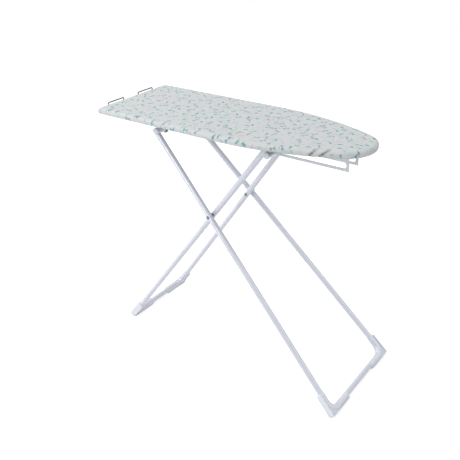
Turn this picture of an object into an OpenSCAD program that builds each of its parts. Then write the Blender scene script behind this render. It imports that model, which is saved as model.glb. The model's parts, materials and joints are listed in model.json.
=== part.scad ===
// Folding ironing board: a padded, punched-steel board on two crossed tube frames.
// The tail is at -X, the nose at +X and the floor at Z = 0. Lengths in millimetres.
// The outer frame hangs from a hinge tube near the tail. The inner frame's crossbar
// slides along a notched rack under the nose half. Both are joined at a riveted pivot.

/* [Board] */
// Length of the dressed board from tail to nose
board_l = 970; // [940:5:1000]
// Width of the dressed board
board_w = 340; // [328:2:352]
// Height of the ironing surface above the floor
board_h = 881; // [860:1:900]
// Radius of the nose tip
nose_r = 80; // [70:1:90]
// Radius of the long side curves that run into the nose
side_arc_r = 1000; // [900:10:1100]
// Radius of the tail corners
tail_corner_r = 18; // [12:1:26]

/* [Panel] */
// Thickness of the steel sheet
sheet_t = 1; // [0.8:0.1:1.4]
// Depth of the folded rim below the top of the sheet
rim_h = 14; // [12:0.5:18]
// Distance between vent holes
vent_pitch = 46; // [40:2:60]
// Radius of a vent hole, corner to centre
vent_r = 13; // [8:1:16]
// Width of a cross brace between its flanges
brace_w = 30; // [24:1:36]
// Width of each brace flange
brace_flange = 8; // [6:1:10]
// Thickness of the brace sheet
brace_t = 1.5; // [1:0.1:2]

/* [Soft top] */
// Thickness of the cover cloth
fabric_t = 1.2; // [0.8:0.1:2]
// Thickness of the foam pad on the sheet
pad_t = 4; // [3:0.5:6]
// Thickness of the foam wrapped round the rim
pad_side = 3.5; // [2:0.5:5]
// Width of the hem turned in under the board
hem_w = 28; // [24:1:34]
// Side of the elastic cord in the hem
hem_cord_d = 2.6; // [2:0.1:3]

/* [Leg frames] */
// Diameter of the leg tubes
tube_d = 20; // [18:1:22]
// Diameter of the hinge tube and of the crossbar
rod_d = 20; // [18:1:22]
// Depth to which a cross tube is let into a leg at its weld
weld_sink = 1; // [0.6:0.1:1.2]
// Distance from the crossbar's axis, folded, to the nose tip
nose_gap = 85.6; // [82:0.2:110]
// Distance of the hinge and crossbar axes below the braces
axis_drop = 46; // [44:0.5:50]
// Distance from the hinge axis to the leg pivot, and from there to the crossbar axis
link_l = 339; // [330:1:345]
// Angle between those two lines and the board, standing
open_angle = 49.4; // [47:0.1:51]
// Angle through which the outer frame folds up to the board
fold_angle = 42; // [30:1:42]
// Distance from the middle of the board to the middle of the pivot gap
pivot_half_w = 107.2; // [104:0.2:112]
// Gap between the crossing tubes at the pivot
pivot_gap = 4; // [4:0.1:5]
// Outward lean of each outer leg
outer_taper = 4.75; // [4:0.05:5]
// Outward lean of each inner leg
inner_taper = 3.68; // [3:0.02:4]
// Bend radius of the tubes at the floor, to the tube's axis
bend_r = 34; // [30:1:40]
// Length of leg tube above its cross tube
top_ext = 15; // [12:1:18]
// Length of cross tube past each leg tube
rod_over = 8; // [6:1:12]
// Height of the floor rails' axes
rail_z = 13; // [12.6:0.1:15]
// Wall of the tubes
tube_wall = 1.4; // [1.3:0.1:2]
// Length of a plug's stem
plug_l = 12; // [6:1:14]
// Height of a plug's cap at its edge
cap_h = 1.2; // [1:0.1:1.6]
// Rise of a plug's cap above its edge
dome_h = 0.8; // [0.6:0.1:1.2]

/* [Corner feet] */
// Wall of the plastic sleeve round the tube
foot_wall = 2.4; // [2:0.1:2.6]
// Length of the sleeve up the leg
foot_leg_l = 68; // [60:1:80]
// Length of the sleeve along the floor rail
foot_rail_l = 95; // [80:1:110]
// Thickness of the corner web
foot_web_t = 15; // [10:1:18]
// Width of the raised edge round the corner
foot_edge_w = 3; // [2:0.2:4]
// Distance from the tube axis at which the sleeve opens on the inside
foot_open = 7; // [5:0.2:8]
// Width of the flat sole
sole_w = 15; // [12:1:18]

/* [Pivot rivets] */
// Diameter of the rivet shank
rivet_d = 6; // [5:0.5:7]
// Diameter of the rivet heads
rivet_head_d = 12; // [10:0.5:13]
// Height of the rivet heads
rivet_head_h = 2.6; // [2:0.1:3.5]
// Diameter of the nylon spacer between the tubes
spacer_d = 15; // [12:0.5:16]

/* [Hinge brackets] */
// Distance from the middle of the board to the middle of a bracket
bracket_y = 54; // [50:1:58]
// Distance between the two ears of a bracket
ear_gap = 24; // [20:1:28]
// Sheet thickness of the brackets
bracket_t = 2; // [1.5:0.1:2.5]
// Length of the bracket foot along the board
bracket_l = 34; // [32:1:38]
// Width of the flanges beside the ears
bracket_flange = 12; // [10:1:14]
// Radius of the ear round the hinge
ear_r = 16; // [15:0.5:17]
// Wall of the nylon bush
bush_wall = 1.5; // [1.2:0.1:1.8]
// Running clearance of the hinge tube in its bush
bush_play = 0.2; // [0.15:0.05:0.4]
// Thickness of the bush's flanges
bush_flange_t = 1.5; // [1:0.1:2]
// Height of the bush's flanges above its wall
bush_flange = 2; // [1.5:0.1:2.2]

/* [Height rack] */
// Outer width of the rack channel
rack_w = 60; // [54:1:66]
// Sheet thickness of the rack
rack_t = 2; // [1.5:0.1:2.5]
// Number of height notches
notch_n = 5; // [3:1:5]
// Distance between notches
notch_pitch = 24; // [24:0.5:26]
// Depth of a notch above the slot
notch_depth = 6; // [4:0.5:7]
// Clearance round the crossbar in the slot
slot_play = 0.4; // [0.3:0.05:0.6]
// Metal left under the slot and past its ends
slot_rim = 8; // [6:0.5:10]

/* [Release lever] */
// Distance from the first notch back to the lever shaft
lever_back = 46; // [42:1:52]
// Distance of the shaft below the braces
shaft_drop = 11; // [9:0.5:12]
// Diameter of the lever shaft
shaft_d = 8; // [7:0.5:9]
// Metal round the shaft in its bosses
boss_wall = 3; // [2.5:0.1:3.5]
// Length of the lever bracket's foot along the board
lever_foot_l = 26; // [24:1:30]
// Width of the lever bracket's foot
lever_foot_w = 16; // [15:0.5:18]
// Thickness of the push-on clips on the shaft
clip_t = 1.2; // [1:0.1:1.5]
// Angle through which the lever is pulled
lever_angle = 6; // [5:0.5:6]
// Width of the presser plate
presser_w = 30; // [24:1:32]
// Thickness of the presser plate
presser_t = 2; // [1.6:0.1:2.5]
// Distance from the middle of the board to the lever arm
arm_y = 118; // [116:1:120]
// Thickness of the lever arm
arm_t = 3; // [2.5:0.1:4]
// Height of the lever arm
arm_h = 14; // [12:1:15]
// Length of the lever arm to the grip
arm_l = 88; // [70:1:100]
// Diameter of the grip
grip_d = 15; // [13:0.5:16]
// Length of the grip
grip_l = 40; // [30:1:42]
// Solid plastic at the end of the grip
grip_end = 4; // [3:0.5:6]
// Number of finger grooves
groove_n = 3; // [2:1:4]
// Radius of a finger groove
groove_r = 2; // [1.5:0.1:2.5]
// Diameter of the return spring
spring_d = 12; // [10:0.5:13]
// Diameter of the spring wire
spring_wire_d = 1.4; // [1:0.1:1.6]
// Distance from the shaft to the spring's axis
spring_back = 50; // [44:1:56]
// Turns of the return spring
spring_turns = 5; // [3:1:6]

/* [Iron rests] */
// Diameter of the rest wire
wire_d = 4; // [3.5:0.1:4.5]
// Width of each rest loop
rest_w = 62; // [50:1:70]
// Distance from the middle of the board to the middle of a loop
rest_y = 74; // [66:1:80]
// Distance of the loops behind the tail
rest_out = 14; // [10:1:18]
// Height of the loops above the ironing surface
rest_up = 5; // [3:1:12]
// Bend radius of the wire
rest_bend = 6; // [5:0.5:7]
// Distance of the wire below the braces
rest_drop = 6.2; // [6:0.1:7]
// Length of a clamp block along the board
clamp_l = 22; // [18:1:26]
// Plastic of a clamp block beside its wires
clamp_wall = 5; // [4:0.5:6]
// Plastic of a clamp block under its wires
clamp_under = 1.5; // [1.2:0.1:2]

/* [Fasteners] */
// Shank diameter of the small rivets and screws
pin_d = 4; // [3:0.2:4.4]
// Head diameter of the small rivets and screws
pin_head_d = 8; // [7:0.2:9]
// Head height of the small rivets and screws
pin_head_h = 2; // [1.5:0.1:2.4]
// Height of the closed end inside a brace
pin_tail_h = 1.2; // [1:0.1:1.6]
// Distance from a rivet's axis to the end of its plate
pin_inset = 7; // [6:0.5:8]

/* [Hidden] */

fit = 0.1;                                  // clearance of a pin in its hole, on the radius
hem_clear = 1;                              // from the hem to the first brace
brace_clear = 4;                            // from a brace's end to the rim
run = 0.3;                                  // clearance between pieces that move apart
ear_play = 4;                               // from the lever bracket to the lever arm
shaft_over = 4;                             // length of the shaft past the rack and the arm
wire_over = 4;                              // length of the rest wires past their clamps
bend_slim = 0.15;                           // what a tube loses on its radius in a bend
foot_swell = 0.35;                          // what a foot's sleeve and bore gain there
foot_step = 1.5;                            // how far a foot's web and sole stop inside its sleeve
tube_r = tube_d / 2;
rod_r = rod_d / 2;

// Heights
z_sheet = board_h - fabric_t - pad_t;       // top of the steel sheet
z_under = z_sheet - sheet_t;                // underside of the sheet
z_mount = z_sheet - rim_h;                  // rim edge and underside of the braces
z_hem = z_mount - fabric_t;
z_axis = z_mount - axis_drop;               // hinge and crossbar axes
brace_h = z_under - z_mount;

// Legs: each cross tube lies on its legs, so the legs lean a little off the link lines
rod_off = tube_r + rod_r - weld_sink;
leg_off = asin(rod_off / link_l);
up_l = sqrt(pow(link_l, 2) - pow(rod_off, 2));
outer_tilt = open_angle - leg_off;
inner_tilt = open_angle + leg_off;
pivot_z = z_axis - link_l * sin(open_angle);
foot_r = tube_r + foot_wall;
foot_edge = foot_r + 0.6;                   // the raised edge stands a little outside the sleeve
foot_half_t = foot_r - 0.4;                 // half of its thickness
reach = 2 * board_h;                        // longer than anything that is cut through

// Places along the board, from the middle of the whole length
wrap = fabric_t + pad_side;
hinge_x = board_l - nose_gap - 2 * link_l * cos(open_angle - fold_angle);
toe_x = hinge_x + link_l * cos(open_angle) + (pivot_z - rail_z) / tan(outer_tilt)
    + foot_edge * cos(outer_tilt) + foot_half_t * sin(outer_tilt);
tail_x = (rest_out + wire_d / 2 - max(board_l, toe_x)) / 2;
hinge_px = tail_x + hinge_x;
pivot_px = hinge_px + link_l * cos(open_angle);
bar_px = hinge_px + 2 * link_l * cos(open_angle);
bar_folded_px = tail_x + board_l - nose_gap;
outer_low_l = (pivot_z - rail_z) / sin(outer_tilt);
inner_low_l = (pivot_z - rail_z) / sin(inner_tilt);
outer_half_w = pivot_half_w + pivot_gap / 2 + tube_r;
inner_half_w = pivot_half_w - pivot_gap / 2 - tube_r;
hinge_half_l = outer_half_w - up_l * tan(outer_taper) + tube_r + rod_over;
bar_half_l = inner_half_w - up_l * tan(inner_taper) + tube_r + rod_over;
plug_r = tube_r - tube_wall;
rod_plug_r = rod_r - tube_wall;

// Lever
shaft_px = bar_px - lever_back;
shaft_z = z_mount - shaft_drop;
press_drop = shaft_z - (z_axis + rod_r + slot_play + 2 * run);  // shaft to presser, pressed down
presser_end = lever_back + (notch_n - 1) * notch_pitch + rod_r;
spring_px = shaft_px - spring_back;
spring_y = arm_y + arm_t / 2;

// Braces, from the tail
rest_brace_px = tail_x + wrap + hem_w + brace_w / 2 + hem_clear;
brace_nose_px = bar_folded_px - rod_r;

// ---------------------------------------------------------------- outline of the board
tail_px = tail_x + wrap;
half_w = board_w / 2 - wrap;
nose_c = tail_x + board_l - wrap - nose_r;
side_c = nose_c - sqrt(pow(side_arc_r - nose_r, 2) - pow(side_arc_r - half_w, 2));
side_a = acos((nose_c - side_c) / (side_arc_r - nose_r));

// Points of an arc, with both ends when n steps are taken up to last
function arc(cx, cy, r, a0, a1, n, last) =
    [for (i = [0 : last]) let (a = a0 + (a1 - a0) * i / n) [cx + r * cos(a), cy + r * sin(a)]];

// Outline of the panel grown by g: tail corners, side arcs and nose share their centres
corner_steps = 6;
side_steps = 14;
nose_steps = 18;
function outline(g) =
    let (corner_x = tail_px + tail_corner_r, corner_y = half_w - tail_corner_r)
    concat(
        arc(corner_x, corner_y, max(tail_corner_r + g, 1), 180, 90, corner_steps, corner_steps),
        arc(side_c, half_w - side_arc_r, side_arc_r + g, 90, side_a, side_steps, side_steps - 1),
        arc(nose_c, 0, nose_r + g, side_a, -side_a, nose_steps, nose_steps),
        [for (p = arc(side_c, half_w - side_arc_r, side_arc_r + g, side_a, 90, side_steps, side_steps))
            if (p[0] < nose_c + nose_r * cos(side_a) - 1) [p[0], -p[1]]],
        arc(corner_x, -corner_y, max(tail_corner_r + g, 1), -90, -180, corner_steps, corner_steps));

// Half width of the panel at x
function half_w_at(x) =
    x < side_c ? half_w
    : x < nose_c + nose_r * cos(side_a)
        ? half_w - side_arc_r + sqrt(pow(side_arc_r, 2) - pow(x - side_c, 2))
        : sqrt(max(pow(nose_r, 2) - pow(x - nose_c, 2), 0));

module slab(g, z0, z1) {
    translate([0, 0, z0]) linear_extrude(z1 - z0) polygon(outline(g));
}

// ---------------------------------------------------------------- small helpers
module y_rod(r, y0, y1, x = 0, z = 0, fn = 36) {
    translate([x, y0, z]) rotate([-90, 0, 0]) cylinder(r = r, h = y1 - y0, $fn = fn);
}

module both_sides() {
    children();
    mirror([0, 1, 0]) children();
}

module on_side(side) {
    if (side > 0) children();
    else mirror([0, 1, 0]) children();
}

// In the plane of the outer or the inner frame, with X down its legs from the pivot
module in_frame(outer) {
    translate([pivot_px, 0, pivot_z])
        rotate([0, outer ? outer_tilt : 180 - inner_tilt, 0]) children();
}

// A domed pin pushed up through a plate t thick, under z, and through the brace above it
module pin(t) {
    translate([0, 0, -t - pin_head_h])
        cylinder(d1 = pin_head_d * 0.6, d2 = pin_head_d, h = pin_head_h, $fn = 28);
    translate([0, 0, -t - 0.01]) cylinder(d = pin_d, h = t + brace_t + 0.02, $fn = 20);
    translate([0, 0, brace_t]) cylinder(d = pin_d * 1.6, h = pin_tail_h, $fn = 20);
}

module pin_holes(places) {
    for (p = places)
        translate([p[0], p[1], z_mount])
            cylinder(r = pin_d / 2 + fit, h = 2 * (rim_h + clamp_h), center = true, $fn = 20);
}

// ---------------------------------------------------------------- panel and braces
brace_px = [rest_brace_px, hinge_px, shaft_px, brace_nose_px];

function near_brace(x) =
    len([for (b = brace_px) if (abs(x - b) < brace_w / 2 + brace_flange + vent_r) b]) > 0;

vent_rows = floor(half_w / (vent_pitch * sqrt(3) / 2));
vent_cols = floor(board_l / vent_pitch) + 1;
vents = [for (row = [-vent_rows : vent_rows], col = [0 : vent_cols])
    let (x = tail_px + (col + (row % 2 == 0 ? 0.5 : 1)) * vent_pitch,
         y = row * vent_pitch * sqrt(3) / 2)
    if (abs(y) + vent_r < half_w_at(x + vent_r) - hem_w / 2
        && x - vent_r > tail_px + hem_w / 2 && !near_brace(x)
        && norm([x - spring_px, y - spring_y]) > vent_r + spring_d) [x, y]];

module board_panel() {
    color("lightgrey") {
        translate([0, 0, z_under]) linear_extrude(sheet_t) difference() {
            polygon(outline(0));
            for (v = vents) translate(v) circle(r = vent_r, $fn = 6);
        }
        translate([0, 0, z_mount]) linear_extrude(rim_h - sheet_t) difference() {
            polygon(outline(0));
            polygon(outline(-sheet_t));
        }
    }
}

// Hat-shaped brace across the board, welded under the sheet by its flanges
module brace(px, places) {
    w = brace_w / 2;
    f = w + brace_flange;
    half_l = half_w_at(px + f) - sheet_t - brace_clear;
    color("gainsboro") difference() {
        translate([px, half_l, z_mount]) rotate([90, 0, 0]) linear_extrude(2 * half_l) polygon([
            [-f, brace_h], [-f, brace_h - brace_t], [-w, brace_h - brace_t], [-w, 0],
            [w, 0], [w, brace_h - brace_t], [f, brace_h - brace_t], [f, brace_h],
            [w - brace_t, brace_h], [w - brace_t, brace_t], [-w + brace_t, brace_t],
            [-w + brace_t, brace_h]]);
        pin_holes(places);
    }
}

// ---------------------------------------------------------------- soft top
module foam_pad() {
    color("whitesmoke") difference() {
        slab(pad_side, z_mount, z_sheet + pad_t);
        slab(0, z_mount - 1, z_sheet);
    }
}

module cover() {
    color("mintcream") difference() {
        slab(wrap, z_hem, board_h);
        slab(pad_side, z_mount, board_h - fabric_t);
        slab(-hem_w, z_hem - 1, z_mount + 1);
    }
}

module hem_cord() {
    color("white") difference() {
        slab(-hem_w + hem_cord_d, z_hem - hem_cord_d, z_hem);
        slab(-hem_w, z_hem - hem_cord_d - 1, z_hem + 1);
    }
}

// ---------------------------------------------------------------- hinge brackets
bracket_foot_w = ear_gap / 2 + bracket_t + bracket_flange;
bracket_pins = [for (sy = [-1, 1], sx = [-1, 1])
    [hinge_px + sx * (bracket_l / 2 - pin_inset), bracket_y + sy * (bracket_foot_w - bracket_flange / 2)]];
function mirrored(places) = [for (p = places) [p[0], -p[1]]];

module hinge_bracket() {
    bore = rod_r + bush_play + bush_wall + fit / 2;
    color("silver") difference() {
        translate([hinge_px, bracket_y, 0]) {
            for (s = [-1, 1]) {
                y0 = s > 0 ? ear_gap / 2 : -ear_gap / 2 - bracket_t;
                y_rod(ear_r, y0, y0 + bracket_t, 0, z_axis);
                translate([-ear_r, y0, z_axis]) cube([2 * ear_r, bracket_t, axis_drop]);
                flange_y = s > 0 ? ear_gap / 2 : -bracket_foot_w;
                translate([-bracket_l / 2, flange_y, z_mount - bracket_t])
                    cube([bracket_l, bracket_foot_w - ear_gap / 2, bracket_t]);
            }
            translate([-ear_r, -ear_gap / 2, z_mount - bracket_t]) cube([2 * ear_r, ear_gap, bracket_t]);
        }
        y_rod(bore, bracket_y - bracket_foot_w, bracket_y + bracket_foot_w, hinge_px, z_axis);
        pin_holes(bracket_pins);
    }
}

// Nylon bush through both ears, flanged on the outside
module hinge_bush() {
    half_l = ear_gap / 2 + bracket_t + run;
    r = rod_r + bush_play + bush_wall;
    color("dimgray") translate([hinge_px, bracket_y, z_axis]) rotate([90, 0, 0]) difference() {
        union() {
            cylinder(r = r, h = 2 * half_l, center = true, $fn = 40);
            for (s = [-1, 1]) translate([0, 0, s * (half_l + bush_flange_t / 2)])
                cylinder(r = r + bush_flange, h = bush_flange_t, center = true, $fn = 40);
        }
        cylinder(r = rod_r + bush_play, h = 4 * half_l, center = true, $fn = 40);
    }
}

module bracket_rivets() {
    color("silver") both_sides()
        for (p = bracket_pins) translate([p[0], p[1], z_mount]) pin(bracket_t);
}

// ---------------------------------------------------------------- height rack
rack_x0 = shaft_px - shaft_d / 2 - slot_rim;
rack_x1 = bar_folded_px + rod_r + slot_play + slot_rim;
slot_r = rod_r + slot_play;
rack_pins = [for (b = [shaft_px, brace_nose_px], sy = [-1, 1])
    [b, sy * (rack_w / 2 - rack_t - pin_head_d / 2 - 2)]];

module height_rack() {
    cheek_z = z_axis - slot_r - slot_rim;
    color("silver") difference() {
        union() {
            translate([rack_x0, -rack_w / 2, z_mount - rack_t])
                cube([rack_x1 - rack_x0, rack_w, rack_t]);
            for (y = [-rack_w / 2, rack_w / 2 - rack_t])
                translate([rack_x0, y, cheek_z])
                    cube([rack_x1 - rack_x0, rack_t, z_mount - cheek_z]);
        }
        // slot for the crossbar, round at both ends
        translate([bar_px, -rack_w, z_axis - slot_r])
            cube([bar_folded_px - bar_px, 2 * rack_w, 2 * slot_r]);
        for (x = [bar_px, bar_folded_px]) y_rod(slot_r, -rack_w, rack_w, x, z_axis);
        // notches above the slot
        for (i = [0 : notch_n - 1])
            y_rod(slot_r, -rack_w, rack_w, bar_px + i * notch_pitch, z_axis + notch_depth);
        // the lower corner behind the slot is cut away under the lever shaft
        translate([rack_x0 - 1, -rack_w, cheek_z - 1])
            cube([bar_px - slot_r - slot_rim - rack_x0 + 1, 2 * rack_w,
                  shaft_z - shaft_d / 2 - slot_rim - cheek_z + 1]);
        y_rod(shaft_d / 2 + fit, -rack_w, rack_w, shaft_px, shaft_z);
        pin_holes(rack_pins);
    }
}

module rack_rivets() {
    color("silver") for (p = rack_pins) translate([p[0], p[1], z_mount]) pin(rack_t);
}

// ---------------------------------------------------------------- release lever
lever_ear_y = arm_y - ear_play;
lever_pins = [for (s = [-1, 1])
    [shaft_px + s * (lever_foot_l / 2 - pin_inset), lever_ear_y - (lever_foot_w + bracket_t) / 2]];

// Turned from its pressed place, where it is drawn level, up to its resting place
module lever_at_rest() {
    translate([shaft_px, 0, shaft_z]) rotate([0, -lever_angle, 0]) children();
}

module lever_bracket() {
    r = shaft_d / 2 + boss_wall + 1;
    color("silver") difference() {
        union() {
            translate([shaft_px - lever_foot_l / 2, lever_ear_y - lever_foot_w, z_mount - bracket_t])
                cube([lever_foot_l, lever_foot_w, bracket_t]);
            translate([shaft_px - r, lever_ear_y - bracket_t, shaft_z])
                cube([2 * r, bracket_t, z_mount - shaft_z]);
            y_rod(r, lever_ear_y - bracket_t, lever_ear_y, shaft_px, shaft_z);
        }
        y_rod(shaft_d / 2 + fit, lever_ear_y - lever_foot_w, lever_ear_y + 1, shaft_px, shaft_z);
        pin_holes(lever_pins);
    }
}

module lever_bracket_rivets() {
    color("silver") for (p = lever_pins) translate([p[0], p[1], z_mount]) pin(bracket_t);
}

module lever_shaft() {
    color("silver")
        y_rod(shaft_d / 2, -rack_w / 2 - shaft_over, arm_y + arm_t + shaft_over, shaft_px, shaft_z);
}

// Push-on clips that keep the shaft in the rack's cheeks
module shaft_clips() {
    color("gray") for (y = [-rack_w / 2 - run - clip_t, rack_w / 2 + run])
        difference() {
            y_rod(shaft_d / 2 + boss_wall, y, y + clip_t, shaft_px, shaft_z);
            y_rod(shaft_d / 2 + fit / 2, y - 1, y + clip_t + 1, shaft_px, shaft_z);
        }
}

// Bent plate that pushes the crossbar down out of a notch
module presser_plate() {
    boss_r = shaft_d / 2 + boss_wall;
    color("silver") lever_at_rest() difference() {
        union() {
            y_rod(boss_r, -presser_w / 2, presser_w / 2);
            translate([boss_r - presser_t, -presser_w / 2, -press_drop])
                cube([presser_t, presser_w, press_drop]);
            translate([boss_r - presser_t, -presser_w / 2, -press_drop])
                cube([presser_end - boss_r + presser_t, presser_w, presser_t]);
            // stiffening ribs along both edges
            for (y = [-presser_w / 2, presser_w / 2 - presser_t])
                translate([boss_r, y + presser_t, -press_drop]) rotate([90, 0, 0])
                    linear_extrude(presser_t) polygon([
                        [-presser_t, 0], [presser_end - boss_r, 0],
                        [presser_end - boss_r, presser_t], [0, press_drop]]);
        }
        y_rod(shaft_d / 2 + fit / 2, -presser_w, presser_w);
    }
}

module lever_arm() {
    color("silver") lever_at_rest() difference() {
        union() {
            y_rod(arm_h / 2, arm_y, arm_y + arm_t);
            translate([-arm_l, arm_y, -arm_h / 2]) cube([arm_l, arm_t, arm_h]);
            y_rod(arm_h / 2, arm_y, arm_y + arm_t, -arm_l);
            y_rod(grip_d / 4, arm_y, arm_y + arm_t + grip_l - grip_end, -arm_l);
        }
        y_rod(shaft_d / 2 + fit / 2, arm_y - 1, arm_y + arm_t + 1);
    }
}

// Plastic grip pushed over the arm's pin, with finger grooves and a rounded end
module lever_grip() {
    y0 = arm_y + arm_t;
    color("whitesmoke") lever_at_rest() translate([-arm_l, y0, 0]) rotate([-90, 0, 0]) difference() {
        union() {
            cylinder(d = grip_d, h = grip_l - grip_d / 2, $fn = 40);
            translate([0, 0, grip_l - grip_d / 2]) sphere(d = grip_d, $fn = 40);
        }
        translate([0, 0, -1]) cylinder(r = grip_d / 4 + fit / 2, h = grip_l - grip_end + 1 + fit, $fn = 36);
        for (i = [1 : groove_n]) translate([0, 0, i * grip_l / (groove_n + 1.6)]) rotate_extrude($fn = 40)
            translate([grip_d / 2 + groove_r / 2, 0]) circle(r = groove_r, $fn = 20);
    }
}

// Round points of a helix tube of n sides, with closed flat ends
function ring(r, w, turn, pitch, sides) =
    [for (k = [0 : sides - 1]) let (a = 360 * k / sides, q = r + w * cos(a))
        [q * cos(turn), q * sin(turn), pitch * turn / 360 + w * sin(a)]];

module helix(r, w, turns, height, steps = 12, sides = 6) {
    n = turns * steps;
    pitch = (height - 2 * w) / turns;
    points = [for (i = [0 : n]) each ring(r, w, 360 * i / steps, pitch, sides)];
    skin = [for (i = [0 : n - 1], k = [0 : sides - 1])
        [i * sides + k, i * sides + (k + 1) % sides,
         (i + 1) * sides + (k + 1) % sides, (i + 1) * sides + k]];
    ends = [[for (k = [sides - 1 : -1 : 0]) k], [for (k = [0 : sides - 1]) n * sides + k]];
    polyhedron(points, concat([for (f = skin) [f[3], f[2], f[1], f[0]]],
                              [for (f = ends) [for (k = [len(f) - 1 : -1 : 0]) f[k]]]));
}

module lever_spring() {
    arm_top = shaft_z - (spring_back - spring_d / 2) * tan(lever_angle) + arm_h / 2 / cos(lever_angle);
    h = z_under - arm_top - 2 * run;
    color("gray") translate([spring_px, spring_y, arm_top + run + spring_wire_d / 2])
        helix((spring_d - spring_wire_d) / 2, spring_wire_d / 2, spring_turns, h);
}

// ---------------------------------------------------------------- iron rests
rest_r = wire_d / 2;
rest_z = z_mount - rest_drop;
rest_x = tail_x - rest_out;
rest_end = rest_brace_px + clamp_l / 2 + wire_over;
clamp_h = rest_drop + rest_r + clamp_under;
clamp_half_w = rest_w / 2 + rest_r + clamp_wall;
clamp_pins = [for (sy = [-1, 1]) [rest_brace_px, rest_y + sy * rest_w / 4]];

// Quarter bend of the wire about the origin, from +X round to +Y
module wire_bend() {
    rotate_extrude(angle = 90, $fn = 48) translate([rest_bend, 0]) circle(r = rest_r, $fn = 20);
}

module iron_rest() {
    top = board_h + rest_up;
    half = rest_w / 2;
    color("darkgray") {
        y_rod(rest_r, rest_y - half + rest_bend, rest_y + half - rest_bend, rest_x, top, 20);
        for (s = [-1, 1]) {
            translate([rest_x, rest_y + s * (half - rest_bend), top - rest_bend])
                rotate([90, 0, 90]) mirror([s > 0 ? 0 : 1, 0, 0]) wire_bend();
            translate([rest_x, rest_y + s * half, rest_z + rest_bend])
                cylinder(r = rest_r, h = top - rest_z - 2 * rest_bend, $fn = 20);
            translate([rest_x + rest_bend, rest_y + s * half, rest_z + rest_bend])
                rotate([90, 180, 0]) wire_bend();
            translate([rest_x + rest_bend, rest_y + s * half, rest_z]) rotate([0, 90, 0])
                cylinder(r = rest_r, h = rest_end - rest_x - rest_bend, $fn = 20);
        }
    }
}

module rest_clamp() {
    color("dimgray") difference() {
        translate([rest_brace_px - clamp_l / 2, rest_y - clamp_half_w, z_mount - clamp_h])
            cube([clamp_l, 2 * clamp_half_w, clamp_h]);
        for (s = [-1, 1]) translate([rest_brace_px - clamp_l, rest_y + s * rest_w / 2, rest_z])
            rotate([0, 90, 0]) cylinder(r = rest_r + fit / 2, h = 2 * clamp_l, $fn = 20);
        pin_holes(clamp_pins);
    }
}

module clamp_screws() {
    color("silver") both_sides()
        for (p = clamp_pins) translate([p[0], p[1], z_mount]) pin(clamp_h);
}

// ---------------------------------------------------------------- leg frames
// In a frame's own plane X runs down the legs from the pivot, and Y across the board.
// A rod along the last leg_len of a leg and round its bend into the floor rail, with a
// radius of its own in the bend
function bend_start(half_w0, taper, low_l) =
    half_w0 + low_l * tan(taper) - bend_r * tan((90 + taper) / 2);

module leg_rod(r, bent, half_w0, taper, low_l, leg_len) {
    yc = half_w0 + low_l * tan(taper);
    translate([low_l - leg_len * cos(taper), yc - leg_len * sin(taper), 0])
        rotate([0, 90, taper]) cylinder(r = r, h = leg_len - bend_r * tan((90 + taper) / 2) + 1, $fn = 40);
    translate([low_l - bend_r, bend_start(half_w0, taper, low_l), 0])
        rotate_extrude(angle = 90 + taper, $fn = 96) translate([bend_r, 0]) circle(r = bent, $fn = 40);
}

// The same with rail_len of the floor rail, measured from the sharp corner
module corner_rod(r, bent, half_w0, taper, low_l, leg_len, rail_len) {
    leg_rod(r, bent, half_w0, taper, low_l, leg_len);
    y_rod(r, half_w0 + low_l * tan(taper) - rail_len, bend_start(half_w0, taper, low_l) + 1, low_l, 0, 40);
}

// Both legs and their floor rail as one bent rod, past the leg ends by extra
module u_rod(r, half_w0, taper, low_l, extra) {
    rail_half = bend_start(half_w0, taper, low_l) + 1;
    leg_len = (low_l + up_l + top_ext + extra) / cos(taper);
    both_sides() leg_rod(r, r - bend_slim, half_w0, taper, low_l, leg_len);
    y_rod(r, -rail_half, rail_half, low_l, 0, 40);
}

// The bent tube and the cross tube welded on near its upper ends
module leg_frame(half_w0, taper, low_l, rod_half_l) {
    difference() {
        union() {
            u_rod(tube_r, half_w0, taper, low_l, 0);
            y_rod(rod_r, -rod_half_l, rod_half_l, -up_l, rod_off, 40);
        }
        u_rod(plug_r, half_w0, taper, low_l, top_ext);
        y_rod(rod_plug_r, -2 * rod_half_l, 2 * rod_half_l, -up_l, rod_off, 40);
        y_rod(rivet_d / 2 + fit, -2 * half_w0, 2 * half_w0);
    }
}

// At the upper end of a leg tube, with Z pointing into it
module leg_end(half_w0, taper) {
    back = up_l + top_ext;
    translate([-back, half_w0 - back * tan(taper), 0]) rotate([0, 90, taper]) children();
}

// Plug with a stem in the tube and a low dome over its end
module plug(stem_r, cap_r) {
    cylinder(r = stem_r - fit / 2, h = plug_l, $fn = 32);
    translate([0, 0, -cap_h]) cylinder(r = cap_r, h = cap_h, $fn = 40);
    translate([0, 0, -cap_h - dome_h]) cylinder(r1 = cap_r - 2, r2 = cap_r, h = dome_h + 0.01, $fn = 40);
}

module leg_plugs(half_w0, taper) {
    both_sides() leg_end(half_w0, taper) plug(plug_r, tube_r);
}

module rod_plugs(rod_half_l) {
    both_sides() translate([-up_l, rod_half_l, rod_off]) rotate([90, 0, 0])
        plug(rod_plug_r, rod_r);
}

module outer_frame() {
    color("white") in_frame(true) leg_frame(outer_half_w, outer_taper, outer_low_l, hinge_half_l);
}

module inner_frame() {
    color("white") in_frame(false) leg_frame(inner_half_w, inner_taper, inner_low_l, bar_half_l);
}

// ---------------------------------------------------------------- corner feet
// The sharp corner where two lines, w outside the leg and the rail, meet
function foot_tip(w, taper, low_l, yc) =
    [low_l + w, yc + w * cos(taper) + w * (1 + sin(taper)) * tan(taper)];
function beside_leg(w, taper, low_l, yc) =
    let (l = foot_leg_l - foot_step)
    [low_l - l * cos(taper) - w * sin(taper), yc - l * sin(taper) + w * cos(taper)];

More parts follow.
